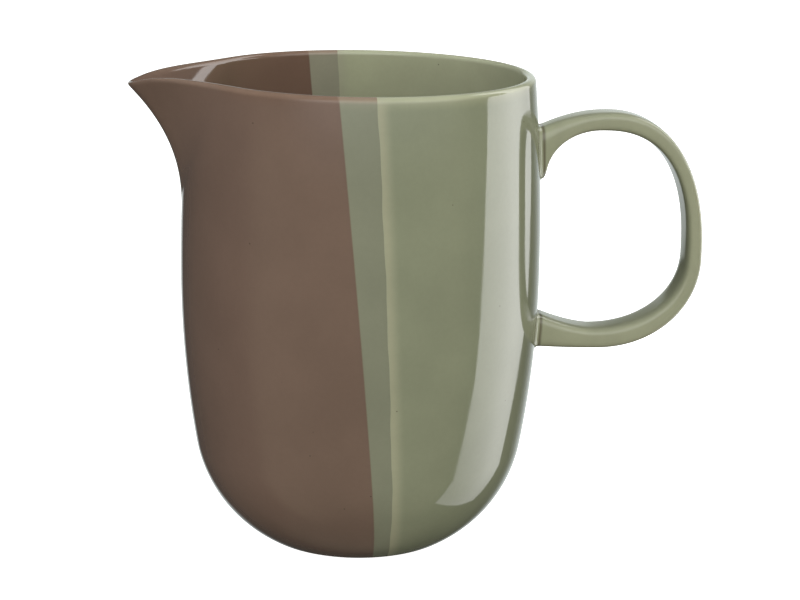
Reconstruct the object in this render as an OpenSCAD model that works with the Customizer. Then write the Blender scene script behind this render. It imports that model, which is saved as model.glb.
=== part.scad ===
// Two-tone stoneware jug: a round-bottomed body with a pulled beak, a strap handle luted on
// with slip at both ends, and a fired glaze coat in three zones.
// The frame: origin on the body axis at the resting face, +Z up, +X to the handle, -X to the beak.

/* [Body] */
// Outside radius at the widest point, over the glaze
body_r = 57.5; // [52:0.5:64]
// Height of the rim, away from the beak
jug_h = 151.5; // [140:0.5:170]
// Height of the widest point
belly_z = 86; // [78:1:94]
// Radius of the arc from the belly up to the rim
shoulder_arc_r = 640; // [500:10:900]
// Radius of the arc from the belly down to the bowl
belly_arc_r = 332; // [280:2:420]
// Height at which the belly arc meets the arc of the bowl
bowl_z = 32; // [28:1:38]
// Outside radius of the foot
foot_r = 30.2; // [27:0.2:34]

/* [Walls] */
// Clay thickness of the side wall
clay_t = 3.4; // [2.6:0.1:4.6]
// Thickness of each glaze coat
glaze_t = 0.4; // [0.3:0.05:0.6]
// Thickness of the rim, glaze included
rim_t = 3.2; // [2.6:0.1:4]
// Depth below the rim over which the wall thins towards it
rim_taper_l = 26; // [18:1:34]
// Clay thickness of the floor
floor_t = 4.6; // [3.4:0.1:6]
// Width of the flat foot ring
foot_ring_w = 3.8; // [3:0.1:5]
// Depth of the recess turned inside the foot ring
foot_recess = 2; // [1.2:0.1:2.6]
// Width of the sloping side of that recess
foot_recess_slope = 1.6; // [1:0.1:2.4]
// Height of the bare clay below the glaze line
bare_foot_h = 0.8; // [0.6:0.1:1.6]

/* [Beak] */
// How far the beak stands out from the round body
beak_out = 19.6; // [15:0.5:24]
// Depth below the rim at which the beak dies into the wall
beak_depth = 41; // [36:1:46]
// Outside radius of the nose of the beak at the rim
beak_nose_r = 7; // [5:0.5:10]
// Radius of the hollow flanks between the nose and the round body
beak_flank_r = 178; // [130:4:240]
// How far the rim dips at the tip of the beak
beak_dip = 3.4; // [2:0.2:6]

/* [Handle] */
// Distance from the axis to the outside of the grip
handle_reach = 111.2; // [105:0.2:118]
// Depth of the top of the strap below the rim
handle_top_drop = 12.2; // [9:0.1:15]
// Height from the underside of the strap to its top
handle_h = 78; // [72:0.5:84]
// Depth of the middle of the grip below the rim
grip_drop = 59.6; // [55:0.2:64]
// Distance from the axis to the crown of the strap
crown_x = 79; // [76:0.5:84]
// Distance from the axis to the heel of the strap
heel_x = 78; // [74:0.5:82]
// Width of the strap
strap_w = 13; // [11:0.5:16]
// Thickness of the strap at its crown
crown_t = 6.3; // [5.4:0.1:7.4]
// Thickness of the strap at the grip
grip_t = 5.4; // [4.6:0.1:6.6]
// Thickness of the strap at its heel
heel_t = 6.9; // [6:0.1:8]
// Depth of the upper root below the top of the strap
upper_root_drop = 4.8; // [4:0.2:6.4]
// Height of the upper root
upper_root_h = 16.5; // [14:0.5:19]
// Height of the lower root
lower_root_h = 10.8; // [9:0.1:13]
// Rise of the lower root over the underside of the strap
lower_root_rise = 0.9; // [0:0.1:2]
// Radius of the slip fillet round each root, measured on the glaze
fillet_r = 2; // [1.4:0.1:2.6]

/* [Glaze lines] */
// Where the plane of the green glaze edge crosses the axis at the base
green_edge_x = 1.6; // [-2:0.1:3]
// Where the plane of the brown glaze edge crosses the axis at the base
brown_edge_x = 5.8; // [4.8:0.1:8]
// Lean of the green edge towards the beak, in degrees
green_edge_angle = 5.4; // [3:0.2:7]
// Lean of the brown edge towards the beak, in degrees
brown_edge_angle = 3.1; // [2:0.1:4.4]
// Turn of both edges about the axis, in degrees
edge_turn_angle = 2; // [-4:1:8]

/* [Hidden] */

// Shape exponents: the flare of the beak, how its nose widens, the dip of its rim, the strap's corners
beak_flare = 2.3;
beak_spread = 4;
dip_curve = 11.5;
strap_corner = 3.2;
// Shape exponents of the strap's outer and inner rails: above the grip, below it and at the roots
crown_curve = [2.24, 2.46];
heel_curve = [2.06, 2.02];
upper_root_curve = [2, 2.1];
lower_root_curve = [2, 1.6];

// Columns of the body surface that stay where they are: those by the beak, in degrees from it,
beak_column_angles = [0, 1.6, 3.2, 4.8, 9, 15, 22, 30, 38];
// and those by the handle, as shares of the half width of its root
handle_turn_shares = [3.4, 2.4, 1.65, 1, 0];
// Cells between the beak columns and the green edge, then between the brown edge and the handle
side_cells = [5, 6];

// The glaze edges keep between these columns where they cross the middle of the floor, in degrees
edge_limit_angles = [52, 140];
least_band_angle = 5;

// Rows of the body surface in each zone
bowl_rows = 6;
belly_rows = 4;
neck_rows = 6;
crest_rows = 4;
throat_rows = 5;
inner_belly_rows = 3;
inner_bowl_rows = 4;
// Rings of the floor, as shares of the floor radius
floor_shares = [0.62, 0.22];
// How rows crowd towards the foot and towards the rim
bowl_crowd = 1.4;
rim_crowd = 1.15;

// Steps along the four runs of the strap, points round it and steps of a fillet
run_steps = [4, 7, 7, 4];
strap_points = 20;
fillet_steps = 3;

// Derived sizes
wall_t = clay_t + 2 * glaze_t;
rim_half = rim_t / 2;
floor_z = foot_recess + floor_t + glaze_t;
foot_inner_r = foot_r - foot_ring_w;
cut_over = clay_t;
handle_top_z = jug_h - handle_top_drop;
handle_low_z = handle_top_z - handle_h;
grip_z = jug_h - grip_drop;
upper_root_top_z = handle_top_z - upper_root_drop;
upper_root_low_z = upper_root_top_z - upper_root_h;
lower_root_low_z = handle_low_z + lower_root_rise;
lower_root_top_z = lower_root_low_z + lower_root_h;

// The side is three arcs that meet smoothly; each keeps its centre when the surface is offset
belly_sin = (belly_z - bowl_z) / belly_arc_r;
belly_cos = sqrt(1 - belly_sin ^ 2);
join_r = body_r - belly_arc_r * (1 - belly_cos);
join_from_foot = [join_r - foot_r, bowl_z];
bowl_arc_r = (join_from_foot * join_from_foot) / (2 * (join_from_foot * [belly_cos, -belly_sin]));
bowl_centre = [join_r - bowl_arc_r * belly_cos, bowl_z + bowl_arc_r * belly_sin];

function arc_r(centre_r, centre_z, radius, z) =
    centre_r + sqrt(max(0, radius ^ 2 - (z - centre_z) ^ 2));

// Radius of the round body at height z, on a surface that lies inset below the outer glaze
function side_r(z, inset = 0) =
    z > belly_z ? arc_r(body_r - shoulder_arc_r, belly_z, shoulder_arc_r - inset, z)
    : z > bowl_z ? arc_r(body_r - belly_arc_r, belly_z, belly_arc_r - inset, z)
    : arc_r(bowl_centre[0], bowl_centre[1], bowl_arc_r - inset, z);

// Outline of the body and its beak seen from above, inset below the outer glaze: the round body,
// two hollow flanks and a round nose, each an arc about its own centre
function plan_r(angle, round_r, nose_x, nose_r, inset) =
    let (
        flank_reach = round_r + beak_flank_r,
        spread = nose_x ^ 2 + flank_reach ^ 2 - (nose_r + beak_flank_r) ^ 2,
        touch = acos(max(-1, min(1, spread / (2 * nose_x * flank_reach)))),
        to_flank = flank_reach * [cos(touch), sin(touch)] - [nose_x, 0],
        nose_touch = [nose_x, 0] + to_flank * (nose_r - inset) / norm(to_flank)
    )
    angle >= touch ? round_r - inset
    : angle >= atan2(nose_touch[1], nose_touch[0]) ?
        flank_reach * cos(touch - angle)
        - sqrt(max(0, (beak_flank_r + inset) ^ 2 - (flank_reach * sin(touch - angle)) ^ 2))
    : nose_x * cos(angle) + sqrt(max(0, (nose_r - inset) ^ 2 - (nose_x * sin(angle)) ^ 2));

// How far the beak stands out at a depth below the rim, and how blunt its nose is there
function beak_at(depth) = beak_out * max(0, 1 - depth / beak_depth) ^ beak_flare;
function nose_at(depth, round_r) =
    beak_nose_r + (round_r / 2 - beak_nose_r) * (1 - beak_at(depth) / beak_out) ^ beak_spread;

function wall_r(angle, z, depth, inset) =
    let (
        outer_r = side_r(z),
        nose_r = nose_at(depth, outer_r),
        nose_x = outer_r + beak_at(depth) - nose_r,
        plan_inset = outer_r - side_r(z, inset)
    )
    plan_r(angle, outer_r, nose_x, nose_r, plan_inset);

// Height of the rim above each column
rim_r = side_r(jug_h);
rim_nose_x = rim_r + beak_out - beak_nose_r;
function rim_z(angle) =
    let (
        out_x = plan_r(angle, rim_r, rim_nose_x, beak_nose_r, 0) * cos(angle),
        dip_share = max(0, out_x / (rim_r + beak_out))
    )
    jug_h - beak_dip * dip_share ^ dip_curve;

// Total wall thickness at a depth below the rim
function wall_at(depth) = wall_t - (wall_t - rim_t) * max(0, 1 - depth / rim_taper_l);

// The rows, from the middle of the underside over the rim to the middle of the floor
function zone(name, from, to) = [for (k = [from:to]) [name, k]];
rows = concat(
    [["underside", 0], ["foot", 0], ["glaze_line", 0]],
    zone("bowl", 1, bowl_rows),
    zone("belly", 1, belly_rows - 1),
    zone("neck", 0, neck_rows),
    zone("crest", 0, crest_rows),
    zone("throat", 1, throat_rows),
    zone("inner_belly", 1, inner_belly_rows),
    zone("inner_bowl", 1, inner_bowl_rows),
    zone("floor", 0, len(floor_shares) - 1),
    [["middle", 0]]
);
first_coat_row = 2;
last_row = len(rows) - 1;
disc_row = last_row - 1;

// Height of a row and how deep it lies below the outer glaze; inset is the coat over the clay
function outer_z(row, top_z) =
    let (neck_z = top_z - beak_depth)
    row[0] == "glaze_line" ? bare_foot_h
    : row[0] == "bowl" ? bare_foot_h + (bowl_z - bare_foot_h) * (row[1] / bowl_rows) ^ bowl_crowd
    : row[0] == "belly" ? bowl_z + (neck_z - bowl_z) * row[1] / belly_rows
    : row[0] == "neck" ? top_z - beak_depth * (1 - row[1] / (neck_rows + 1)) ^ rim_crowd
    : 0;
function inner_z(row, top_z, inset) =
    let (neck_z = top_z - beak_depth, floor_top = floor_z - inset)
    row[0] == "throat" ? top_z - beak_depth * (row[1] / throat_rows) ^ rim_crowd
    : row[0] == "inner_belly" ? neck_z + (bowl_z - neck_z) * row[1] / inner_belly_rows
    : row[0] == "inner_bowl" ? floor_top + (bowl_z - floor_top) * (1 - row[1] / inner_bowl_rows) ^ bowl_crowd
    : floor_top;
function is_inner(row) =
    row[0] == "throat" || row[0] == "inner_belly" || row[0] == "inner_bowl"
    || row[0] == "floor" || row[0] == "middle";
function place(row, top_z, inset) =
    row[0] == "crest" ?
        let (turn = 180 * row[1] / crest_rows, bead = rim_half - inset)
        [top_z - rim_half + bead * sin(turn), rim_half - bead * cos(turn)]
    : is_inner(row) ?
        let (z = inner_z(row, top_z, inset))
        [z, wall_at(top_z - z) - inset]
    : [outer_z(row, top_z), inset];
function reach_share(row) =
    row[0] == "floor" ? floor_shares[row[1]] : row[0] == "middle" || row[0] == "underside" ? 0 : 1;

// The glaze edges are planes, as a dipped pot leaves them: side is 1 in front and -1 behind
function edge_column(side, at_base, lean, z, r) =
    let (
        skew = side * tan(edge_turn_angle),
        reach = -(at_base - z * tan(lean)) / (r * sqrt(1 + skew ^ 2)),
        angle = atan(skew) + acos(max(-1, min(1, reach)))
    )
    max(edge_limit_angles[0], min(edge_limit_angles[1], angle));

// The outermost column of a root lies along the edge of its slip
root_turn = asin((strap_w / 2 + fillet_r) / side_r(upper_root_top_z));
handle_column_angles = [for (share = handle_turn_shares) 180 - root_turn * share];

// The columns of one side, whose angles follow the glaze edges at height z and radius r
function spread(from, to, cells) = [for (k = [1:cells - 1]) from + (to - from) * k / cells];
function side_columns(side, z, r) =
    let (
        green = edge_column(side, green_edge_x, green_edge_angle, z, r),
        brown = max(green + least_band_angle, edge_column(side, brown_edge_x, brown_edge_angle, z, r)),
        beak_end = beak_column_angles[len(beak_column_angles) - 1]
    )
    concat(beak_column_angles, spread(beak_end, green, side_cells[0]), [green, brown],
           spread(brown, handle_column_angles[0], side_cells[1]), handle_column_angles);

half_n = len(beak_column_angles) + side_cells[0] + side_cells[1] + len(handle_column_angles);
column_n = 2 * (half_n - 1);
front_green = len(beak_column_angles) + side_cells[0] - 1;
back_green = column_n - front_green;

// Column j runs from the beak round the front to the handle, and back round the far side
function column_side(j) = j < half_n ? 1 : -1;
function half_index(j) = j < half_n ? j : column_n - j;

function body_point(i, j, inset) =
    let (
        row = rows[i],
        flat = place(row, jug_h, 0),
        share = reach_share(row),
        flat_r = max(glaze_t, side_r(flat[0], flat[1]) * share),
        angle = side_columns(column_side(j), flat[0], flat_r)[half_index(j)],
        here = place(row, rim_z(angle), inset),
        depth = rim_z(angle) - here[0],
        r = wall_r(angle, here[0], depth, here[1]) * share
    )
    [-r * cos(angle), -column_side(j) * r * sin(angle), here[0]];

clay_points = [for (i = [0:last_row]) for (j = [0:column_n - 1]) body_point(i, j, glaze_t)];
glazed_points = [for (i = [0:last_row]) for (j = [0:column_n - 1]) body_point(i, j, 0)];

// A row with no radius has one shared point
function index(i, j) = i * column_n + (reach_share(rows[i]) == 0 ? 0 : j % column_n);
function flip(face) = [face[2], face[1], face[0]];
function is_real(face) = face[0] != face[1] && face[1] != face[2] && face[0] != face[2];
function square_faces(a, b, c, d) = [for (face = [[a, b, c], [a, c, d]]) if (is_real(face)) face];
function cell_faces(i, j) = square_faces(index(i, j), index(i + 1, j), index(i + 1, j + 1), index(i, j + 1));

// Glaze zones over the cells of the body surface
function in_band(j) = j == front_green || j == back_green - 1;
function in_zone(name, i, j) =
    i < first_coat_row || i >= last_row ? false
    : i == disc_row || in_band(j) ? name == "overlap"
    : j < front_green || j >= back_green ? name == "brown"
    : name == "green";

// A coat of glaze: the glazed and the clay faces of its cells, and walls along its edges
module coat(name) {
    n = len(clay_points);
    cells = [for (i = [first_coat_row:last_row - 1]) for (j = [0:column_n - 1]) if (in_zone(name, i, j)) [i, j]];
    function wall(a, b) = a < b ? square_faces(b, a, a + n, b + n) : square_faces(a, a + n, b + n, b);
    faces = [
        for (c = cells)
        let (
            i = c[0],
            j = c[1],
            before = (j + column_n - 1) % column_n,
            outside = cell_faces(i, j),
            inside = [for (face = outside) flip(face + [n, n, n])]
        )
        each concat(
            outside,
            inside,
            in_zone(name, i - 1, j) ? [] : wall(index(i, j + 1), index(i, j)),
            in_zone(name, i + 1, j) ? [] : wall(index(i + 1, j), index(i + 1, j + 1)),
            in_zone(name, i, before) ? [] : wall(index(i, j), index(i + 1, j)),
            in_zone(name, i, (j + 1) % column_n) ? [] : wall(index(i + 1, j + 1), index(i, j + 1))
        )
    ];
    polyhedron(points = concat(glazed_points, clay_points), faces = faces);
}

// Half of a superellipse quarter, from its start on one axis to its end on the other
function corner(centre, from, to, power, share) =
    let (turn = 90 * share)
    centre + from * cos(turn) ^ (2 / power) + to * sin(turn) ^ (2 / power);

// The strap runs between two rails: run 0 leaves the upper root, 1 and 2 pass the grip, 3 ends at
// the lower root. Its ends stand off the body by a gap that the slip fills
root_gap = fillet_r;
// How much nearer the body the inner rail has its crown and its heel
crown_slide = 2.6;
heel_slide = 1.8;
function rail_points(run, share) =
    let (
        grip_in = handle_reach - grip_t,
        top_in_z = handle_top_z - crown_t,
        low_in_z = handle_low_z + heel_t,
        start_out = side_r(upper_root_top_z) + root_gap,
        start_in = side_r(upper_root_low_z) + root_gap,
        end_out = side_r(lower_root_low_z) + root_gap,
        end_in = side_r(lower_root_top_z) + root_gap,
        inner_crown_x = crown_x - crown_slide,
        inner_heel_x = heel_x - heel_slide
    )
    run == 0 ? [
        [start_out + (crown_x - start_out) * share,
         handle_top_z - (handle_top_z - upper_root_top_z) * (1 - share) ^ upper_root_curve[0]],
        corner([inner_crown_x, upper_root_low_z], [start_in - inner_crown_x, 0],
               [0, top_in_z - upper_root_low_z], upper_root_curve[1], share)
    ]
    : run == 1 ? [
        corner([crown_x, grip_z], [0, handle_top_z - grip_z], [handle_reach - crown_x, 0],
               crown_curve[0], share),
        corner([inner_crown_x, grip_z], [0, top_in_z - grip_z], [grip_in - inner_crown_x, 0],
               crown_curve[1], share)
    ]
    : run == 2 ? [
        corner([heel_x, grip_z], [handle_reach - heel_x, 0], [0, handle_low_z - grip_z],
               heel_curve[0], share),
        corner([inner_heel_x, grip_z], [grip_in - inner_heel_x, 0], [0, low_in_z - grip_z],
               heel_curve[1], share)
    ]
    : [
        [heel_x + (end_out - heel_x) * share,
         handle_low_z + (lower_root_low_z - handle_low_z) * share ^ lower_root_curve[0]],
        [inner_heel_x + (end_in - inner_heel_x) * share,
         low_in_z + (lower_root_top_z - low_in_z) * share ^ lower_root_curve[1]]
    ];

stations = concat(
    [for (run = [0:3]) for (k = [0:run_steps[run] - 1]) [run, k / run_steps[run]]],
    [[3, 1]]
);

// A rounded rectangle with its points at even turns
function rounded(turn) =
    let (c = cos(turn), s = sin(turn))
    [sign(c) * abs(c) ^ (2 / strap_corner), sign(s) * abs(s) ^ (2 / strap_corner)];
function turn_of(k) = 360 * k / strap_points;

// One ring of the strap; the first and the last follow the round of the body
function strap_ring(station, inset) =
    let (
        rails = rail_points(station[0], station[1]),
        middle = (rails[0] + rails[1]) / 2,
        half = (rails[0] - rails[1]) / 2,
        thin = 1 - inset / norm(half),
        is_end = station == stations[0] || station == stations[len(stations) - 1]
    )
    [for (k = [0:strap_points - 1])
        let (
            unit = rounded(turn_of(k)),
            y = unit[1] * (strap_w / 2 - inset),
            at = middle + half * thin * unit[0]
        )
        is_end ? [root_x(y, at[1], root_gap), y, at[1]] : [at[0], y, at[1]]];
function root_x(y, z, off) = sqrt(side_r(z) ^ 2 - y ^ 2) + off;

// The outline of a root on the body, grown by the spread of the fillet
function root_outline(top_z, low_z, grow) =
    [for (k = [0:strap_points - 1])
        let (unit = rounded(turn_of(k)))
        [unit[1] * (strap_w / 2 + grow), (top_z + low_z) / 2 + unit[0] * ((top_z - low_z) / 2 + grow)]];

// Rings of a fillet, from the body out to the strap
function fillet_ring(top_z, low_z, inset, step) =
    let (
        turn = 90 * step / fillet_steps,
        radius = fillet_r + inset,
        outline = root_outline(top_z, low_z, radius * (1 - sin(turn)) - inset)
    )
    [for (p = outline) [root_x(p[0], p[1], radius * (1 - cos(turn)) - inset), p[0], p[1]]];

function ring_faces(ring_n, point_n, base = 0) = [
    for (i = [0:ring_n - 2])
    for (k = [0:point_n - 1])
    let (
        a = base + i * point_n + k,
        b = base + i * point_n + (k + 1) % point_n
    )
    each [[a, b, b + point_n], [a, b + point_n, a + point_n]]
];

// A solid through rings, with its two ends closed from a point on the surface that they meet
module closed_sweep(rings, start_cap, end_cap) {
    point_n = len(rings[0]);
    ring_n = len(rings);
    count = point_n * ring_n;
    last = count - point_n;
    polyhedron(
        points = concat([for (ring = rings) each ring], [start_cap, end_cap]),
        faces = concat(
            ring_faces(ring_n, point_n),
            [for (k = [0:point_n - 1]) [(k + 1) % point_n, k, count]],
            [for (k = [0:point_n - 1]) [last + k, last + (k + 1) % point_n, count + 1]]
        )
    );
}

// A tube between two sets of rings
module tube_sweep(outer_rings, inner_rings) {
    point_n = len(outer_rings[0]);
    ring_n = len(outer_rings);
    count = point_n * ring_n;
    last = count - point_n;
    polyhedron(
        points = concat([for (ring = outer_rings) each ring], [for (ring = inner_rings) each ring]),
        faces = concat(
            ring_faces(ring_n, point_n),
            [for (face = ring_faces(ring_n, point_n, count)) flip(face)],
            [for (k = [0:point_n - 1])
                let (m = (k + 1) % point_n)
                each [[m, k, count + k], [m, count + k, count + m]]],
            [for (k = [0:point_n - 1])
                let (m = (k + 1) % point_n)
                each [[last + k, last + m, count + last + m], [last + k, count + last + m, count + last + k]]]
        )
    );
}

function root_middle(top_z, low_z, off) =
    let (z = (top_z + low_z) / 2)
    [side_r(z) + off, 0, z];

module body() {
    color("#8d8378")
    difference() {
        polyhedron(
            points = clay_points,
            faces = [for (i = [0:last_row - 1]) for (j = [0:column_n - 1]) each cell_faces(i, j)]
        );
        rotate_extrude($fn = 96)
        polygon([
            [0, -cut_over],
            [foot_inner_r, -cut_over],
            [foot_inner_r, 0],
            [foot_inner_r - foot_recess_slope, foot_recess],
            [0, foot_recess]
        ]);
    }
}

module handle() {
    color("#9a917f")
    closed_sweep(
        [for (station = stations) strap_ring(station, glaze_t)],
        root_middle(upper_root_top_z, upper_root_low_z, root_gap),
        root_middle(lower_root_top_z, lower_root_low_z, root_gap)
    );
}

module slip(top_z, low_z) {
    closed_sweep(
        [for (step = [0:fillet_steps]) fillet_ring(top_z, low_z, glaze_t, step)],
        root_middle(top_z, low_z, -glaze_t),
        root_middle(top_z, low_z, root_gap)
    );
}

module upper_handle_slip() {
    color("#7f766a") slip(upper_root_top_z, upper_root_low_z);
}

module lower_handle_slip() {
    color("#7f766a") slip(lower_root_top_z, lower_root_low_z);
}

module brown_glaze() {
    color("#6b594c") coat("brown");
}

module overlap_glaze() {
    color("#7e806e") coat("overlap");
}

// The green coat is open where the two roots sit on the clay
module green_glaze() {
    color("#86896f")
    difference() {
        coat("green");
        root_window(upper_root_top_z, upper_root_low_z);
        root_window(lower_root_top_z, lower_root_low_z);
    }
}

// A plug of the root's outline, from the middle of the wall to well outside it
module root_window(top_z, low_z) {
    outline = root_outline(top_z, low_z, fillet_r);
    depths = [-wall_t / 2, wall_t];
    closed_sweep(
        [for (off = depths) [for (p = outline) [root_x(p[0], p[1], off), p[0], p[1]]]],
        root_middle(top_z, low_z, depths[0]),
        root_middle(top_z, low_z, depths[1])
    );
}

module handle_glaze() {
    color("#9ba183")
    tube_sweep(glaze_rings(0), glaze_rings(glaze_t));
}
function glaze_rings(inset) = concat(
    [for (step = [0:fillet_steps - 1]) fillet_ring(upper_root_top_z, upper_root_low_z, inset, step)],
    [for (station = stations) strap_ring(station, inset)],
    [for (step = [1:fillet_steps]) fillet_ring(lower_root_top_z, lower_root_low_z, inset, fillet_steps - step)]
);

body();
handle();
upper_handle_slip();
lower_handle_slip();
brown_glaze();
overlap_glaze();
green_glaze();
handle_glaze();
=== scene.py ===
# Two-tone stoneware jug on a pale table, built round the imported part
import math

import bpy
import numpy as np
from mathutils import Matrix, Vector


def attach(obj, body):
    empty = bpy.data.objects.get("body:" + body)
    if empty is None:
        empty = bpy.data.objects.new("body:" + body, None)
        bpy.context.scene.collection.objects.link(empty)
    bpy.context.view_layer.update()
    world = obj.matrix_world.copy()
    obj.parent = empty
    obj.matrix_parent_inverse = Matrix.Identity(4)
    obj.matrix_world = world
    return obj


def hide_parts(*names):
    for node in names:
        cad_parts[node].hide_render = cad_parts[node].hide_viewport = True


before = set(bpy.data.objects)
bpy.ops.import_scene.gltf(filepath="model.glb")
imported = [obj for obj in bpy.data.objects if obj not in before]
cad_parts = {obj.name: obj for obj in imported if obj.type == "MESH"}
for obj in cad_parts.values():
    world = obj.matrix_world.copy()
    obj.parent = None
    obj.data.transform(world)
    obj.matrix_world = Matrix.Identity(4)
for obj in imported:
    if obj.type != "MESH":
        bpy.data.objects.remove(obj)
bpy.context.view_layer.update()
print("stage 1: frame loaded,", len(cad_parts), "nodes")

mm = 0.001
tiny = 1e-12   # keeps a division safe

# The view: a long lens about 0.6 m away, a little above the rim
view = {
    "azimuth": -5.0,      # degrees from straight in front, below zero on the beak's side
    "distance": 600.0,
    "height": 235.54,
    "turn": 1.236,        # the jug stands a little left of the middle
    "tiltDown": 14.748,
    "roll": 1.081,
    "lens": 86.29,
    "sensor": 36.0,
    "clip": (0.02, 20.0),   # metres
}


def addCamera(v):
    data = bpy.data.cameras.new("camera")
    data.lens = v["lens"]
    data.sensor_width = v["sensor"]
    data.clip_start, data.clip_end = v["clip"]
    data.dof.use_dof = False
    camera = bpy.data.objects.new("camera", data)
    bpy.context.scene.collection.objects.link(camera)
    azimuth = math.radians(v["azimuth"])
    place = Vector((math.sin(azimuth), -math.cos(azimuth), 0)) * v["distance"]
    place.z = v["height"]
    yaw = math.radians(v["turn"]) - azimuth
    tilt = math.radians(v["tiltDown"])
    roll = math.radians(v["roll"])
    level = Vector((math.sin(yaw), math.cos(yaw), 0))
    side = Vector((math.cos(yaw), -math.sin(yaw), 0))
    ahead = level * math.cos(tilt) - Vector((0, 0, 1)) * math.sin(tilt)
    upward = side.cross(ahead)
    right = side * math.cos(roll) + upward * math.sin(roll)
    top = right.cross(ahead)
    turn = Matrix((right, top, -ahead)).transposed()
    camera.matrix_world = Matrix.Translation(place * mm) @ turn.to_4x4()
    bpy.context.scene.camera = camera


addCamera(view)

# The pot's form, in millimetres
pot = {
    "bodyR": 57.5, "height": 151.5, "bellyZ": 86.0, "shoulderArc": 640.0, "bellyArc": 332.0,
    "bowlZ": 32.0, "footR": 30.2,
    "clay": 3.4, "glaze": 0.4, "rim": 3.2, "rimTaper": 26.0, "floor": 4.6,
    "footRing": 3.8, "footRecess": 2.0, "recessSlope": 1.6, "bareFoot": 0.8, "glazeBead": 0.7,
    "beakOut": 19.6, "beakDepth": 41.0, "beakNose": 7.0, "beakFlank": 178.0, "beakDip": 3.4,
    "beakFlare": 2.3, "beakSpread": 4.0, "dipCurve": 11.5,
}
wall = pot["clay"] + 2 * pot["glaze"]
floorZ = pot["footRecess"] + pot["floor"] + pot["glaze"]

bellySin = (pot["bellyZ"] - pot["bowlZ"]) / pot["bellyArc"]
bellyCos = math.sqrt(1 - bellySin ** 2)
joinR = pot["bodyR"] - pot["bellyArc"] * (1 - bellyCos)
joinX = joinR - pot["footR"]
bowlArc = (joinX ** 2 + pot["bowlZ"] ** 2) / (2 * (joinX * bellyCos - pot["bowlZ"] * bellySin))
bowlCentre = (joinR - bowlArc * bellyCos, pot["bowlZ"] + bowlArc * bellySin)


def arcR(centreR, centreZ, radius, z):
    return centreR + np.sqrt(np.maximum(0, radius ** 2 - (z - centreZ) ** 2))


def sideR(z, inset=0.0):
    z = np.asarray(z, float)
    shoulder = arcR(pot["bodyR"] - pot["shoulderArc"], pot["bellyZ"], pot["shoulderArc"] - inset, z)
    belly = arcR(pot["bodyR"] - pot["bellyArc"], pot["bellyZ"], pot["bellyArc"] - inset, z)
    bowl = arcR(bowlCentre[0], bowlCentre[1], bowlArc - inset, z)
    return np.where(z > pot["bellyZ"], shoulder, np.where(z > pot["bowlZ"], belly, bowl))


# Seen from above: the round body, two hollow flanks and a round nose, each an arc of its own
def planR(angle, roundR, noseX, noseR, inset):
    flank = pot["beakFlank"]
    reach = roundR + flank
    touchCos = (noseX ** 2 + reach ** 2 - (noseR + flank) ** 2) / (2 * noseX * reach)
    touch = np.arccos(np.clip(touchCos, -1, 1))
    toX = reach * np.cos(touch) - noseX
    toY = reach * np.sin(touch)
    size = np.hypot(toX, toY)
    noseEnd = np.arctan2(toY * (noseR - inset) / size, noseX + toX * (noseR - inset) / size)
    along = reach * np.cos(touch - angle)
    across = reach * np.sin(touch - angle)
    flankR = along - np.sqrt(np.maximum(0, (flank + inset) ** 2 - across ** 2))
    noseDepth = np.sqrt(np.maximum(0, (noseR - inset) ** 2 - (noseX * np.sin(angle)) ** 2))
    nosePart = noseX * np.cos(angle) + noseDepth
    return np.where(angle >= touch, roundR - inset, np.where(angle >= noseEnd, flankR, nosePart))


def beakAt(depth):
    return pot["beakOut"] * np.maximum(0, 1 - depth / pot["beakDepth"]) ** pot["beakFlare"]


def noseAt(depth, roundR):
    share = np.maximum(0, 1 - beakAt(depth) / pot["beakOut"]) ** pot["beakSpread"]
    return pot["beakNose"] + (roundR / 2 - pot["beakNose"]) * share


def wallR(angle, z, depth, inset):
    outer = sideR(z)
    nose = noseAt(depth, outer)
    return planR(angle, outer, outer + beakAt(depth) - nose, nose, outer - sideR(z, inset))


rimR = float(sideR(pot["height"]))


def rimZ(angle):
    out = planR(angle, rimR, rimR + pot["beakOut"] - pot["beakNose"], pot["beakNose"], 0) * np.cos(angle)
    share = np.maximum(0, out / (rimR + pot["beakOut"]))
    return pot["height"] - pot["beakDip"] * share ** pot["dipCurve"]


# The wall's thickness: thinned by the potter's fingers towards the rim
def wallAt(depth):
    return wall - (wall - pot["rim"]) * np.maximum(0, 1 - depth / pot["rimTaper"])


# The two dips: each edge is a plane, with the small waver of a hand-held pot
dips = {
    "green": {"atBase": 1.2, "lean": 5.4, "turn": 1.55, "seed": 0.4},
    "brown": {"atBase": 5.8, "lean": 3.1, "turn": 2.0, "seed": 1.9},
    "limits": (52.0, 165.0), "leastBand": 5.0,   # degrees round from the beak
    "waver": 0.12,       # mm to either side
    "longWave": 5.3, "shortWave": 2.1, "shortShare": 0.6,   # mm of height to a radian of each wave
}


def edgeAngle(side, dip, z, r):
    skew = side * math.tan(math.radians(dip["turn"]))
    longWave = math.sin(z / dips["longWave"] + dip["seed"])
    shortWave = math.sin(z / dips["shortWave"] + 2 * dip["seed"] + side)
    wave = longWave + dips["shortShare"] * shortWave
    edge = dip["atBase"] + dips["waver"] * wave - z * math.tan(math.radians(dip["lean"]))
    reach = -edge / (r * math.sqrt(1 + skew ** 2))
    angle = math.degrees(math.atan(skew) + math.acos(max(-1.0, min(1.0, reach))))
    return math.radians(max(dips["limits"][0], min(dips["limits"][1], angle)))


# How finely the body is divided, along each side and up each zone
fine = {
    "beakCells": 44, "beakEnd": 41.0, "beakCrowd": 1.7,
    "frontCells": 26, "bandCells": 6, "handleCells": 56,
    "bowl": 34, "belly": 22, "neck": 38, "crest": 14, "throat": 26, "innerBelly": 14, "innerBowl": 26,
    "bowlCrowd": 1.3, "innerBowlCrowd": 1.4, "beadSteps": 4,
    "floorShares": (0.8, 0.6, 0.4, 0.25, 0.168),   # the last ring touches the brown dip's edge
}


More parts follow.
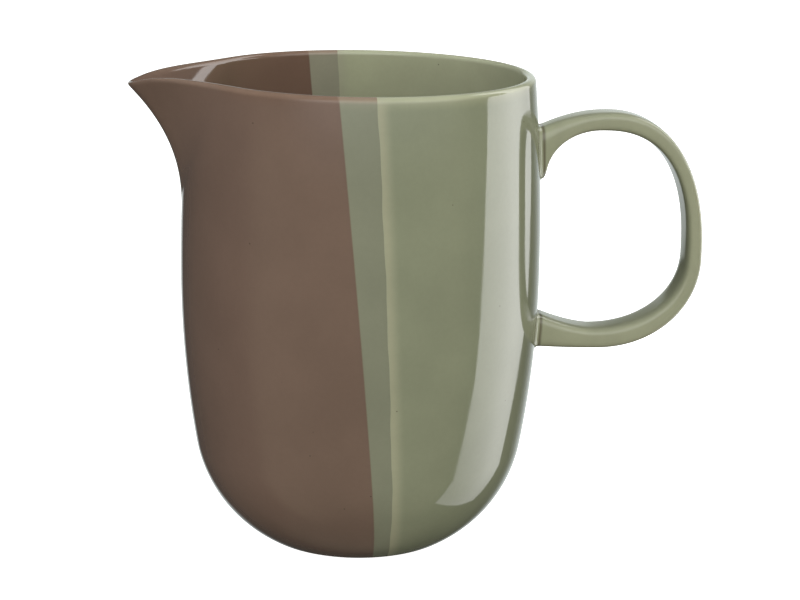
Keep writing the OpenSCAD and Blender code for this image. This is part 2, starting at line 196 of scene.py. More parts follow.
# Columns of one side, from the beak round to the handle: they crowd at the beak and follow both dips
def sideColumns(side, z, r):
    end = math.radians(fine["beakEnd"])
    green = edgeAngle(side, dips["green"], z, r)
    brown = edgeAngle(side, dips["brown"], z, r)
    brown = max(brown, green + math.radians(dips["leastBand"]))
    return np.concatenate([
        end * (np.arange(fine["beakCells"]) / fine["beakCells"]) ** fine["beakCrowd"],
        np.linspace(end, green, fine["frontCells"], endpoint=False),
        np.linspace(green, brown, fine["bandCells"], endpoint=False),
        np.linspace(brown, math.pi, fine["handleCells"] + 1),
    ])


greenCell = fine["beakCells"] + fine["frontCells"]
brownCell = greenCell + fine["bandCells"]
halfN = brownCell + fine["handleCells"] + 1
columnN = 2 * (halfN - 1)


# Rows from the bare foot up over the rim and down to the middle of the floor
def zoneRows(kind, first, count, steps):
    return [(kind, k / steps) for k in range(first, count + 1)]


rows = [("line", 0.0)]
rows += zoneRows("bead", 1, fine["beadSteps"] - 1, fine["beadSteps"])
rows += zoneRows("bowl", 0, fine["bowl"], fine["bowl"])
rows += zoneRows("belly", 1, fine["belly"] - 1, fine["belly"])
rows += zoneRows("neck", 0, fine["neck"], fine["neck"])
rows += zoneRows("crest", 1, fine["crest"], fine["crest"])
for zone in ("throat", "innerBelly", "innerBowl"):
    rows += zoneRows(zone, 1, fine[zone], fine[zone])
rows += [("floor", share) for share in fine["floorShares"]]
rowN = len(rows)


# Height of a row, its depth under the outer glaze and its share of the radius
def rowPlace(row, topZ, inset):
    kind, t = row
    neckZ = topZ - pot["beakDepth"]
    half = pot["rim"] / 2
    floorTop = floorZ - inset
    beadTop = pot["bareFoot"] + pot["glazeBead"]
    share = 1.0
    if kind == "line":
        z, depth = pot["bareFoot"], pot["glaze"]
    elif kind == "bead":
        thin = pot["glaze"] * (1 - math.sqrt(1 - (1 - t) ** 2))
        z, depth = pot["bareFoot"] + pot["glazeBead"] * t, max(thin, inset)
    elif kind == "bowl":
        z, depth = beadTop + (pot["bowlZ"] - beadTop) * t ** fine["bowlCrowd"], inset
    elif kind == "belly":
        z, depth = pot["bowlZ"] + (neckZ - pot["bowlZ"]) * t, inset
    elif kind == "neck":
        z, depth = neckZ + (pot["beakDepth"] - half) * t, inset
    elif kind == "crest":
        bead = half - inset
        z, depth = topZ - half + bead * math.sin(math.pi * t), half - bead * math.cos(math.pi * t)
    elif kind == "throat":
        z = topZ - half - (pot["beakDepth"] - half) * t
        depth = wallAt(topZ - z) - inset
    elif kind == "innerBelly":
        z = neckZ + (pot["bowlZ"] - neckZ) * t
        depth = wallAt(topZ - z) - inset
    elif kind == "innerBowl":
        z = floorTop + (pot["bowlZ"] - floorTop) * (1 - t) ** fine["innerBowlCrowd"]
        depth = wallAt(topZ - z) - inset
    else:
        z, depth, share = floorTop, wall - inset, t
    return z + 0 * topZ, depth + 0 * topZ, share   # one value to each column


# The body's skin, or at the glaze's depth the clay under it; each side's columns meet at beak and handle
def surfaceGrid(inset):
    points = np.zeros((rowN, columnN, 3))
    for i, row in enumerate(rows):
        flatZ, flatInset, share = rowPlace(row, pot["height"], 0.0)
        flatR = max(pot["glaze"], float(sideR(flatZ, flatInset)) * share)
        for side in (1, -1):
            angle = sideColumns(side, float(flatZ), flatR)
            topZ = rimZ(angle)
            z, depth, share = rowPlace(row, topZ, inset)
            r = wallR(angle, z, topZ - z, depth) * share
            line = np.stack([-r * np.cos(angle), -side * r * np.sin(angle), z], 1)
            if side > 0:
                points[i, :halfN] = line
            else:
                points[i, halfN:] = line[1:-1][::-1]
    return points


def gridNormals(points):
    down = np.empty_like(points)
    down[1:-1] = points[2:] - points[:-2]
    down[0] = points[1] - points[0]
    down[-1] = points[-1] - points[-2]
    along = np.roll(points, -1, 1) - np.roll(points, 1, 1)
    normal = np.cross(along, down)
    return normal / np.maximum(tiny, np.linalg.norm(normal, axis=2, keepdims=True))


def addMesh(name, points, faces, cornerNormals=None):
    mesh = bpy.data.meshes.new(name)
    mesh.from_pydata([tuple(p) for p in np.asarray(points) * mm], [], faces)
    mesh.shade_smooth()
    if cornerNormals is not None:
        mesh.normals_split_custom_set(cornerNormals)
    obj = bpy.data.objects.new(name, mesh)
    bpy.context.scene.collection.objects.link(obj)
    return obj


glazed = surfaceGrid(0.0)
clay = surfaceGrid(pot["glaze"])
glazedNormals = gridNormals(glazed)
print("stage 2: body surface,", rowN, "rows,", columnN, "columns")

# The strap handle; each root gives its outer edge's height, then its inner edge's
strap = {
    "reach": 111.1, "topDrop": 12.2, "height": 77.7, "gripDrop": 59.6, "crownX": 79.0, "heelX": 78.0,
    "width": 13.0, "crown": 5.9, "grip": 5.1, "heel": 6.8,
    "upperDrop": 4.8, "upperH": 16.5, "lowerH": 10.8, "lowerRise": 0.6, "fillet": 1.8,
    "corner": 4.2,       # 2 is an ellipse, more is squarer
    "crownCurve": (2.24, 2.46), "heelCurve": (2.06, 2.1),
    "upperCurve": (2.0, 2.1), "lowerCurve": (2.0, 1.6), "crownSlide": 2.6, "heelSlide": 1.8,
    "points": 72, "runs": (26, 36, 36, 26), "filletSteps": 9,
    "blendRings": 4, "blendTimes": 3, "blendShare": 0.5,
}
strapTop = pot["height"] - strap["topDrop"]
strapLow = strapTop - strap["height"]
gripZ = pot["height"] - strap["gripDrop"]
upperRoot = (strapTop - strap["upperDrop"], strapTop - strap["upperDrop"] - strap["upperH"])
lowerRoot = (strapLow + strap["lowerRise"], strapLow + strap["lowerRise"] + strap["lowerH"])


# A point on the quarter bend from start to end round a centre
def bendPoint(centre, start, end, power, share):
    c = max(0.0, math.cos(math.pi / 2 * share)) ** (2 / power)
    s = max(0.0, math.sin(math.pi / 2 * share)) ** (2 / power)
    return np.array([centre[0] + start[0] * c + end[0] * s, centre[1] + start[1] * c + end[1] * s])


# The strap's outer and inner rail in its four runs: upper root, crown, heel and lower root
def railPoints(run, share):
    s = strap
    gripIn = s["reach"] - s["grip"]
    topIn = strapTop - s["crown"]
    lowIn = strapLow + s["heel"]
    startOut, startIn = (float(sideR(z)) + s["fillet"] for z in upperRoot)
    endOut, endIn = (float(sideR(z)) + s["fillet"] for z in lowerRoot)
    crownIn = s["crownX"] - s["crownSlide"]
    heelIn = s["heelX"] - s["heelSlide"]
    if run == 0:
        rise = (strapTop - upperRoot[0]) * (1 - share) ** s["upperCurve"][0]
        outer = np.array([startOut + (s["crownX"] - startOut) * share, strapTop - rise])
        inner = bendPoint((crownIn, upperRoot[1]), (startIn - crownIn, 0), (0, topIn - upperRoot[1]),
                          s["upperCurve"][1], share)
    elif run == 1:
        outer = bendPoint((s["crownX"], gripZ), (0, strapTop - gripZ), (s["reach"] - s["crownX"], 0),
                          s["crownCurve"][0], share)
        inner = bendPoint((crownIn, gripZ), (0, topIn - gripZ), (gripIn - crownIn, 0),
                          s["crownCurve"][1], share)
    elif run == 2:
        outer = bendPoint((s["heelX"], gripZ), (s["reach"] - s["heelX"], 0), (0, strapLow - gripZ),
                          s["heelCurve"][0], share)
        inner = bendPoint((heelIn, gripZ), (gripIn - heelIn, 0), (0, lowIn - gripZ),
                          s["heelCurve"][1], share)
    else:
        outer = np.array([s["heelX"] + (endOut - s["heelX"]) * share,
                          strapLow + (lowerRoot[0] - strapLow) * share ** s["lowerCurve"][0]])
        inner = np.array([heelIn + (endIn - heelIn) * share,
                          lowIn + (lowerRoot[1] - lowIn) * share ** s["lowerCurve"][1]])
    return outer, inner


pointTurns = 2 * math.pi * np.arange(strap["points"]) / strap["points"]
unitC = np.sign(np.cos(pointTurns)) * np.abs(np.cos(pointTurns)) ** (2 / strap["corner"])
unitS = np.sign(np.sin(pointTurns)) * np.abs(np.sin(pointTurns)) ** (2 / strap["corner"])


# How far out the round body stands at a place, with a gap added
def onBody(y, z, off):
    return np.sqrt(sideR(z) ** 2 - y ** 2) + off


# From the body out to the strap: the slip's hollow round
def filletRing(root, inset, share):
    turn = math.pi / 2 * share
    radius = strap["fillet"] + inset
    grow = radius * (1 - math.sin(turn)) - inset
    y = unitS * (strap["width"] / 2 + grow)
    half = (root[0] - root[1]) / 2
    z = (root[0] + root[1]) / 2 + unitC * (half + math.copysign(grow, half))
    return np.stack([onBody(y, z, radius * (1 - math.cos(turn)) - inset), y, z], 1)


def strapRing(run, share, inset):
    outer, inner = railPoints(run, share)
    middle = (outer + inner) / 2
    half = (outer - inner) / 2
    thin = 1 - inset / np.linalg.norm(half)
    y = unitS * (strap["width"] / 2 - inset)
    x = middle[0] + half[0] * thin * unitC
    z = middle[1] + half[1] * thin * unitC
    if (run, share) in ((0, 0.0), (3, 1.0)):
        x = onBody(y, z, strap["fillet"])
    return np.stack([x, y, z], 1)


# Evens out the rings where a fillet runs into the strap, as a wet sponge does
def blendRoots(rings):
    last = len(rings) - 1
    for _ in range(strap["blendTimes"]):
        smooth = rings.copy()
        for i in range(1, last):
            near = min(abs(i - strap["filletSteps"]), abs(last - i - strap["filletSteps"]))
            weight = strap["blendShare"] * max(0.0, 1 - near / strap["blendRings"])
            smooth[i] = rings[i] * (1 - weight) + (rings[i - 1] + rings[i + 1]) / 2 * weight
        rings = smooth
    return rings


def handleRings(inset):
    steps = strap["filletSteps"]
    rings = [filletRing(upperRoot, inset, k / steps) for k in range(steps)]
    for run, count in enumerate(strap["runs"]):
        rings += [strapRing(run, k / count, inset) for k in range(count)]
    rings.append(strapRing(3, 1.0, inset))
    rings += [filletRing(lowerRoot, inset, 1 - k / steps) for k in range(1, steps + 1)]
    return blendRoots(np.array(rings))


def tubeFaces(ringN, pointN, base=0):
    faces = []
    for i in range(ringN - 1):
        for k in range(pointN):
            a = base + i * pointN + k
            b = base + i * pointN + (k + 1) % pointN
            faces.append((a, a + pointN, b + pointN, b))
    return faces


def addTube(name, outer, inner):
    ringN, pointN = outer.shape[:2]
    count = ringN * pointN
    faces = tubeFaces(ringN, pointN)
    faces += [face[::-1] for face in tubeFaces(ringN, pointN, count)]
    last = (ringN - 1) * pointN
    for k in range(pointN):
        m = (k + 1) % pointN
        faces.append((k, m, m + count, k + count))
        faces.append((last + m, last + k, last + k + count, last + m + count))
    return addMesh(name, np.concatenate([outer.reshape(-1, 3), inner.reshape(-1, 3)]), faces)


def addCapped(name, rings):
    ringN, pointN = rings.shape[:2]
    faces = tubeFaces(ringN, pointN)
    last = (ringN - 1) * pointN
    for k in range(pointN):
        m = (k + 1) % pointN
        faces.append((k, m, ringN * pointN))
        faces.append((last + m, last + k, ringN * pointN + 1))
    ends = [rings[0].mean(0), rings[-1].mean(0)]
    return addMesh(name, np.concatenate([rings.reshape(-1, 3), ends]), faces)


outerRings = handleRings(0.0)
innerRings = handleRings(pot["glaze"])
steps = strap["filletSteps"]
pieces = {
    "handleGlaze": addTube("handleGlaze", outerRings, innerRings),
    "strapClay": addCapped("strapClay", innerRings[steps:-steps]),
    "upperSlip": addCapped("upperSlip", innerRings[:steps + 1]),
    "lowerSlip": addCapped("lowerSlip", innerRings[-steps - 1:]),
}


# Each point of the handle's glaze knows how many millimetres of strap lie between it and the nearer root,
# which places the painted shade line by each root
def markRootDistance(mesh, rings):
    gaps = np.linalg.norm(np.diff(rings, axis=0), axis=2).mean(1)
    along = np.concatenate([[0], np.cumsum(gaps)])
    ringDistance = np.repeat(np.minimum(along, along[-1] - along), rings.shape[1])
    layer = mesh.attributes.new("rootShade", "FLOAT", "POINT")
    layer.data.foreach_set("value", np.concatenate([ringDistance, ringDistance]).astype(np.float32))


markRootDistance(pieces["handleGlaze"].data, outerRings)


# Cells of the body surface that the roots of the handle cover
def underRoot(i, j):
    centre = (glazed[i, j] + glazed[i + 1, (j + 1) % columnN]) / 2
    isInner = math.hypot(centre[0], centre[1]) < float(sideR(centre[2])) - pot["glaze"]
    if isInner or centre[0] < pot["bodyR"] / 2:
        return False
    for root in (upperRoot, lowerRoot):
        across = abs(centre[1]) / (strap["width"] / 2)
        up = abs((centre[2] - (root[0] + root[1]) / 2) / ((root[0] - root[1]) / 2))
        if across ** strap["corner"] + up ** strap["corner"] < 1:
            return True
    return False


def zoneOf(i, j):
    k = j if j < halfN - 1 else columnN - 1 - j
    if k < greenCell:
        return "brownGlaze"
    if k < brownCell:
        return "overlapGlaze"
    return "bare" if underRoot(i, j) else "greenGlaze"


zones = [[zoneOf(i, j) for j in range(columnN)] for i in range(rowN - 1)]


# One coat of glaze: its outer skin, the side on the clay and the walls between them
def addCoat(name):
    count = rowN * columnN
    outside = glazed.reshape(-1, 3)
    points = np.concatenate([outside, clay.reshape(-1, 3), [glazed[-1].mean(0)], [clay[-1].mean(0)]])
    skinNormals = glazedNormals.reshape(-1, 3)
    faces = []
    normals = []

    # The glaze runs out to nothing at the foot, so its first row is shared
    def under(v):
        return v if v < columnN else v + count

    def put(face, smooth=False):
        faces.append(face)
        if smooth:
            normals.extend([tuple(skinNormals[v]) for v in face])
            return
        a, b, c = (points[v] for v in face[:3])
        flat = np.cross(b - a, c - a)
        normals.extend([tuple(flat / max(tiny, np.linalg.norm(flat)))] * len(face))

    def rim(a, b):
        ring = [b, a, under(a), under(b)]
        kept = [v for n, v in enumerate(ring) if v not in ring[:n]]
        if len(kept) > 2:
            put(tuple(kept))

    for i in range(rowN - 1):
        for j in range(columnN):
            if zones[i][j] != name:
                continue
            k = (j + 1) % columnN
            a, b, c, d = i * columnN + j, (i + 1) * columnN + j, (i + 1) * columnN + k, i * columnN + k
            put((a, d, c, b), True)
            put((under(a), under(b), under(c), under(d)))
            if zones[i][j - 1] != name:
                rim(b, a)
            if zones[i][k] != name:
                rim(d, c)
            if i > 0 and zones[i - 1][j] != name:
                rim(a, d)
            if i < rowN - 2 and zones[i + 1][j] != name:
                rim(c, b)
            if i == rowN - 2 and name != "overlapGlaze":
                rim(c, b)
    if name == "overlapGlaze":
        last = (rowN - 1) * columnN
        middle = 2 * count
        for j in range(columnN):
            k = (j + 1) % columnN
            a, b = last + j, last + k
            put((a, b, middle))
            put((under(b), under(a), middle + 1))
            if zones[rowN - 2][j] != name:
                rim(a, b)
    keep = sorted({v for face in faces for v in face})
    number = {v: n for n, v in enumerate(keep)}
    faces = [tuple(number[v] for v in face) for face in faces]
    return addMesh(name, points[keep], faces, normals)


for name in ("brownGlaze", "overlapGlaze", "greenGlaze"):
    pieces[name] = addCoat(name)


# The bare foot ring: mm out from its inner or its outer edge, and mm up
foot = {
    "recessCells": 6, "flatCells": 4,
    "innerRound": ((-0.25, 0.3), (-0.05, 0.08), (0.2, 0.0)),
    "outerFlat": -0.3, "outerRound": (-0.1, 0.06), "outerTop": 0.25,
}


# The fired clay: foot ring with its recess, and the wall under the glaze
def addClayBody():
    inner = pot["footR"] - pot["footRing"]
    slope = inner - pot["recessSlope"]
    edge = float(sideR(0.0, pot["glaze"]))
    profile = [(r, pot["footRecess"]) for r in np.linspace(0, slope, foot["recessCells"] + 1)[1:]]
    profile += [(inner + out, up) for out, up in foot["innerRound"]]
    flatStart = profile[-1][0]
    profile += [(r, 0.0) for r in np.linspace(flatStart, edge + foot["outerFlat"], foot["flatCells"] + 1)[1:]]
    profile.append((edge + foot["outerRound"][0], foot["outerRound"][1]))
    profile.append((float(sideR(foot["outerTop"], pot["glaze"])), foot["outerTop"]))
    turns = np.arctan2(clay[0, :, 1], clay[0, :, 0])
    footRings = np.array([[(r * math.cos(t), r * math.sin(t), z) for t in turns] for r, z in profile])
    return addCapped("clayBody", np.concatenate([footRings, clay[:-1:2], clay[-1:]])[:, ::-1])


pieces["clayBody"] = addClayBody()
print("stage 3: pieces,", ", ".join(sorted(pieces)))

# Colours of glaze and clay, some with painted light in them (a highlight on the rim, light inside the mouth,
# shade in the crease by the handle's roots), and of the studio
hexes = {
    "brown": "#67554a", "brownThinAndHighlight": "#816e5f", "brownInsideLit": "#685346",
    "band": "#757866", "bandInsideLit": "#858370",
    "green": "#7a7f69", "greenThinAndHighlight": "#a5a895", "greenInsideLit": "#979a7e", "streak": "#95967e",
    "handle": "#8d9079", "pool": "#93977e", "rootShade": "#453a2a",
    "clay": "#a89a86", "slip": "#9c8f7c", "speck": "#3a332c",
    "floor": "#f4f4f2", "around": "#404241", "table": "#a39c86", "underneath": "#efe6d2",
    "backWall": "#f0f8f7", "window": "#ffffff", "backdrop": "#ffffff",
}


# A named colour or a hex value, from sRGB to linear
def linear(name):
    text = hexes.get(name, name)
    channels = [int(text[k:k + 2], 16) / 255 for k in (1, 3, 5)]
    curve = [c / 12.92 if c <= 0.04045 else ((c + 0.055) / 1.055) ** 2.4 for c in channels]
    return (*curve, 1.0)


# An input is a value, or the socket that it is linked to
def addNode(tree, kind, settings=None, inputs=None):
    node = tree.nodes.new(kind)
    for key, value in (settings or {}).items():
        setattr(node, key, value)
    for key, value in (inputs or {}).items():
        if isinstance(value, bpy.types.NodeSocket):
            tree.links.new(value, node.inputs[key])
        else:
            node.inputs[key].default_value = value
    return node


def newMaterial(name):
    material = bpy.data.materials.new(name)
    material.use_nodes = True
    material.node_tree.nodes.clear()
    return material


blend = {"data_type": "RGBA", "clamp_factor": True}
soft = {"interpolation_type": "SMOOTHSTEP"}
times = {"operation": "MULTIPLY"}
dotProduct = {"operation": "DOT_PRODUCT"}

# A range gives the noise values between which a look changes over
glazeLook = {
    "ior": 1.5,
    "roughLow": 0.05, "roughHigh": 0.095,   # a fired gloss, a little duller where the glaze lies thin
    "dullRange": (0.35, 0.65),
    "mottle": 26.0,      # mm between one patch of thicker glaze and the next
    "mottleRange": (0.3, 0.7), "mottleDepth": 0.05,
    "grain": 1.4,        # mm; a real stain is finer, drawn coarser here so that it shows
    "grainRange": (0.2, 0.8), "grainDepth": 0.015,
    "ripple": 19.0, "rippleHeight": 0.02,   # mm between the soft waves that the dip leaves, and their height
    "speckGap": 9.0, "speckSize": 0.035, "speckDark": 0.7,   # iron specks of 0.3 mm, one to each 9 mm or so
    "crestDrop": 2.2, "crestRun": 2.0,   # mm below the rim's top where the glaze starts to run thin and a painted highlight starts
    # how far the rim turns lighter: partly thinner glaze, partly a painted highlight
    "brownThinHighlightShare": 0.4, "bandThinHighlightShare": 0.8, "greenThinHighlightShare": 0.28,
    "bandFade": 0.5,     # mm from the green dip's edge over which the brown still shows
    "streakStart": 0.3, "streakWidth": 4.5, "streakShare": 0.8,   # mm of thicker green beside the overlap
    "pool": 5.0,         # mm of strap beside each root where the glaze pools
    "rootShadeAt": (2.1, 2.9, 3.9), "rootShadeDepth": 0.7,   # mm from the body, and how dark the painted shade line in the root's crease is
    "insideR": 54.0, "insideEdge": 0.6, "insideZ": (60.0, 95.0),   # painted light: the glaze is drawn paler inside the mouth, more so towards the top, standing in for the light that falls into the mouth
}


# Distance from a dip's edge in metres, positive on the handle side
def dipDistance(tree, place, dip):
    turn = math.radians(dip["turn"])
    tilt = math.tan(math.radians(dip["lean"]))
    slope = (math.cos(turn), math.sin(turn), tilt * math.cos(turn))
    along = addNode(tree, "ShaderNodeVectorMath", dotProduct, {0: place, 1: slope}).outputs["Value"]
    return addNode(tree, "ShaderNodeMath", {"operation": "SUBTRACT"},
                   {0: along, 1: dip["atBase"] * math.cos(turn) * mm}).outputs[0]


# Glossy stoneware glaze over a light clay: clean reflections over a dense, soft colour that thins on the rim,
# with a painted highlight there and painted light inside the mouth
def glazeMaterial(name, colourOf):
    look = glazeLook
    mottleLow, mottleHigh = look["mottleRange"]
    grainLow, grainHigh = look["grainRange"]
    dullLow, dullHigh = look["dullRange"]
    material = newMaterial(name)
    tree = material.node_tree
    place = addNode(tree, "ShaderNodeTexCoord").outputs["Object"]
    height = addNode(tree, "ShaderNodeSeparateXYZ", None, {0: place}).outputs["Z"]
    level = addNode(tree, "ShaderNodeVectorMath", times, {0: place, 1: (1, 1, 0)}).outputs[0]
    radius = addNode(tree, "ShaderNodeVectorMath", {"operation": "LENGTH"}, {0: level}).outputs["Value"]
    # painted light inside the mouth: a share that is full within the inner wall and rises with height
    outR = look["insideR"] + look["insideEdge"]
    isWithin = addNode(tree, "ShaderNodeMapRange", soft,
                       {0: radius, 1: look["insideR"] * mm, 2: outR * mm, 3: 1.0, 4: 0.0}).outputs[0]
    lowZ, highZ = (z * mm for z in look["insideZ"])
    isHigh = addNode(tree, "ShaderNodeMapRange", soft, {0: height, 1: lowZ, 2: highZ}).outputs[0]
    inside = addNode(tree, "ShaderNodeMath", times, {0: isWithin, 1: isHigh}).outputs[0]
    # the rim's top, drawn lighter partly for thinner glaze and partly as a painted highlight
    crestZ = pot["height"] - look["crestDrop"]
    crest = addNode(tree, "ShaderNodeMapRange", soft,
                    {0: height, 1: crestZ * mm, 2: (crestZ + look["crestRun"]) * mm}).outputs[0]
    at = {"place": place, "crest": crest, "inside": inside}
    mottle = addNode(tree, "ShaderNodeTexNoise", None,
                     {"Vector": place, "Scale": 1000 / look["mottle"], "Detail": 3.0, "Roughness": 0.55})
    grain = addNode(tree, "ShaderNodeTexNoise", None,
                    {"Vector": place, "Scale": 1000 / look["grain"], "Detail": 2.0})
    patch = addNode(tree, "ShaderNodeMapRange", soft,
                    {0: mottle.outputs[0], 1: mottleLow, 2: mottleHigh,
                     3: 1 - look["mottleDepth"], 4: 1 + look["mottleDepth"]})
    fleck = addNode(tree, "ShaderNodeMapRange", soft,
                    {0: grain.outputs[0], 1: grainLow, 2: grainHigh,
                     3: 1 - look["grainDepth"], 4: 1 + look["grainDepth"]})
    shade = addNode(tree, "ShaderNodeMath", times, {0: patch.outputs[0], 1: fleck.outputs[0]})
    scaled = addNode(tree, "ShaderNodeVectorMath", {"operation": "SCALE"},
                     {0: colourOf(tree, at), "Scale": shade.outputs[0]})
    speck = addNode(tree, "ShaderNodeTexVoronoi", {"feature": "F1"},
                    {"Vector": place, "Scale": 1000 / look["speckGap"], "Randomness": 1.0})
    speckShare = addNode(tree, "ShaderNodeMapRange", soft,
                         {0: speck.outputs["Distance"], 1: look["speckSize"] / 2, 2: look["speckSize"],
                          3: look["speckDark"], 4: 0.0})
    colour = addNode(tree, "ShaderNodeMix", blend,
                     {0: speckShare.outputs[0], 6: scaled.outputs[0], 7: linear("speck")})
    dull = addNode(tree, "ShaderNodeMapRange", soft,
                   {0: mottle.outputs[0], 1: dullLow, 2: dullHigh, 3: look["roughHigh"], 4: look["roughLow"]})
    ripple = addNode(tree, "ShaderNodeTexNoise", None,
                     {"Vector": place, "Scale": 1000 / look["ripple"], "Detail": 1.0})
    bump = addNode(tree, "ShaderNodeBump", None,
                   {"Strength": 1.0, "Distance": look["rippleHeight"] * mm, "Height": ripple.outputs[0]})
    shader = addNode(tree, "ShaderNodeBsdfPrincipled", None,
                     {"Base Color": colour.outputs[2], "Roughness": dull.outputs[0], "IOR": look["ior"],
                      "Normal": bump.outputs[0]})
    addNode(tree, "ShaderNodeOutputMaterial", None, {"Surface": shader.outputs[0]})
    return material


# Iron brown, a little lighter on the rim, partly where it runs thin and partly by a painted highlight
def brownColour(tree, at):
    # painted light inside the mouth
    base = addNode(tree, "ShaderNodeMix", blend,
                   {0: at["inside"], 6: linear("brown"), 7: linear("brownInsideLit")}).outputs[2]
    # painted highlight on the rim, partly also thinner glaze
    thin = addNode(tree, "ShaderNodeMath", times, {0: at["crest"], 1: glazeLook["brownThinHighlightShare"]}).outputs[0]
    return addNode(tree, "ShaderNodeMix", blend, {0: thin, 6: base, 7: linear("brownThinAndHighlight")}).outputs[2]


# Green over brown: a grey olive, through which the brown comes back on the crest, drawn lighter there partly
# by a painted highlight
def bandColour(tree, at):
    fromGreen = dipDistance(tree, at["place"], dips["green"])
    over = addNode(tree, "ShaderNodeMapRange", soft,
                   {0: fromGreen, 1: 0.0, 2: glazeLook["bandFade"] * mm}).outputs[0]
    # painted light inside the mouth
    tone = addNode(tree, "ShaderNodeMix", blend,
                   {0: at["inside"], 6: linear("band"), 7: linear("bandInsideLit")}).outputs[2]
    base = addNode(tree, "ShaderNodeMix", blend, {0: over, 6: linear("brown"), 7: tone}).outputs[2]
    # painted highlight on the rim, partly also thinner glaze
    thin = addNode(tree, "ShaderNodeMath", times, {0: at["crest"], 1: glazeLook["bandThinHighlightShare"]}).outputs[0]
    return addNode(tree, "ShaderNodeMix", blend, {0: thin, 6: base, 7: linear("brownThinAndHighlight")}).outputs[2]


# Green alone, with a lighter streak where the two dips meet, and lighter on the rim partly where it runs thin
# and partly by a painted highlight
def greenColour(tree, at):
    fromBrown = dipDistance(tree, at["place"], dips["brown"])
    streak = addNode(tree, "ShaderNodeMapRange", soft,
                     {0: fromBrown, 1: glazeLook["streakStart"] * mm, 2: glazeLook["streakWidth"] * mm,
                      3: glazeLook["streakShare"], 4: 0.0}).outputs[0]
    # painted light inside the mouth
    tone = addNode(tree, "ShaderNodeMix", blend,
                   {0: at["inside"], 6: linear("green"), 7: linear("greenInsideLit")}).outputs[2]
    base = addNode(tree, "ShaderNodeMix", blend, {0: streak, 6: tone, 7: linear("streak")}).outputs[2]
    # painted highlight on the rim, partly also thinner glaze
    thin = addNode(tree, "ShaderNodeMath", times, {0: at["crest"], 1: glazeLook["greenThinHighlightShare"]}).outputs[0]
    return addNode(tree, "ShaderNodeMix", blend, {0: thin, 6: base, 7: linear("greenThinAndHighlight")}).outputs[2]


# The same green on the pulled strap: milkier by the roots, and a painted shade line in the crease where the
# strap meets the body
def handleColour(tree, at):
    out = addNode(tree, "ShaderNodeSeparateXYZ", None, {0: at["place"]}).outputs["X"]
    rootX = pot["bodyR"]
    away = addNode(tree, "ShaderNodeMapRange", soft,
                   {0: out, 1: rootX * mm, 2: (rootX + glazeLook["pool"]) * mm}).outputs[0]
    base = addNode(tree, "ShaderNodeMix", blend, {0: away, 6: linear("pool"), 7: linear("handle")}).outputs[2]
    # painted shade: a dark line a few mm out from each root, standing in for the shade in the concave crease
    rootShade = addNode(tree, "ShaderNodeAttribute", {"attribute_name": "rootShade"}).outputs["Fac"]
    start, middle, end = glazeLook["rootShadeAt"]
    near = addNode(tree, "ShaderNodeMapRange", soft, {0: rootShade, 1: start, 2: middle}).outputs[0]
    far = addNode(tree, "ShaderNodeMapRange", soft,
                  {0: rootShade, 1: middle, 2: end, 3: glazeLook["rootShadeDepth"], 4: 0.0}).outputs[0]
    line = addNode(tree, "ShaderNodeMath", times, {0: near, 1: far}).outputs[0]
    return addNode(tree, "ShaderNodeMix", blend, {0: line, 6: base, 7: linear("rootShade")}).outputs[2]


clayLook = {
    "sand": 0.9,      # mm; the real grit is nearer 0.2 mm, drawn coarser so that it shows
    "sandHeight": 0.05, "darkRange": (0.35, 0.8), "darkShare": 0.3,
    "roughLow": 0.8, "roughHigh": 0.92, "dullRange": (0.3, 0.7),
}


# Fired stoneware clay, unglazed: dry, sandy and matt
def clayMaterial(name, colour):
    look = clayLook
    darkLow, darkHigh = look["darkRange"]
    dullLow, dullHigh = look["dullRange"]
    material = newMaterial(name)
    tree = material.node_tree
    place = addNode(tree, "ShaderNodeTexCoord").outputs["Object"]
    sand = addNode(tree, "ShaderNodeTexNoise", None,
                   {"Vector": place, "Scale": 1000 / look["sand"], "Detail": 4.0})
    dark = addNode(tree, "ShaderNodeMapRange", soft,
                   {0: sand.outputs[0], 1: darkLow, 2: darkHigh, 3: 0.0, 4: look["darkShare"]})
    base = addNode(tree, "ShaderNodeMix", blend, {0: dark.outputs[0], 6: linear(colour), 7: linear("speck")})
    dull = addNode(tree, "ShaderNodeMapRange", soft,
                   {0: sand.outputs[0], 1: dullLow, 2: dullHigh, 3: look["roughLow"], 4: look["roughHigh"]})
    bump = addNode(tree, "ShaderNodeBump", None,
                   {"Strength": 1.0, "Distance": look["sandHeight"] * mm, "Height": sand.outputs[0]})
    shader = addNode(tree, "ShaderNodeBsdfPrincipled", None,
                     {"Base Color": base.outputs[2], "Roughness": dull.outputs[0], "Normal": bump.outputs[0]})
    addNode(tree, "ShaderNodeOutputMaterial", None, {"Surface": shader.outputs[0]})
    return material


claySurface = clayMaterial("firedStoneware", "clay")
slipSurface = clayMaterial("firedSlip", "slip")
finishes = {
    "clayBody": ("body", "bare_clay", claySurface),
    "strapClay": ("handle", "handle_clay", claySurface),
    "upperSlip": ("upper_handle_slip", "slip", slipSurface),
    "lowerSlip": ("lower_handle_slip", "slip", slipSurface),
    "brownGlaze": ("brown_glaze", "brown_glaze", glazeMaterial("brownGlossGlaze", brownColour)),
    "overlapGlaze": ("overlap_glaze", "overlap_glaze", glazeMaterial("overlapGlossGlaze", bandColour)),
    "greenGlaze": ("green_glaze", "green_glaze", glazeMaterial("greenGlossGlaze", greenColour)),
    "handleGlaze": ("handle_glaze", "handle_glaze", glazeMaterial("handleGlossGlaze", handleColour)),
}
for name, (node, slot, material) in finishes.items():
    pieces[name].data.materials.append(material)
    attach(pieces[name], "root")
    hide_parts(node)
print("stage 4: materials on", len(finishes), "pieces")

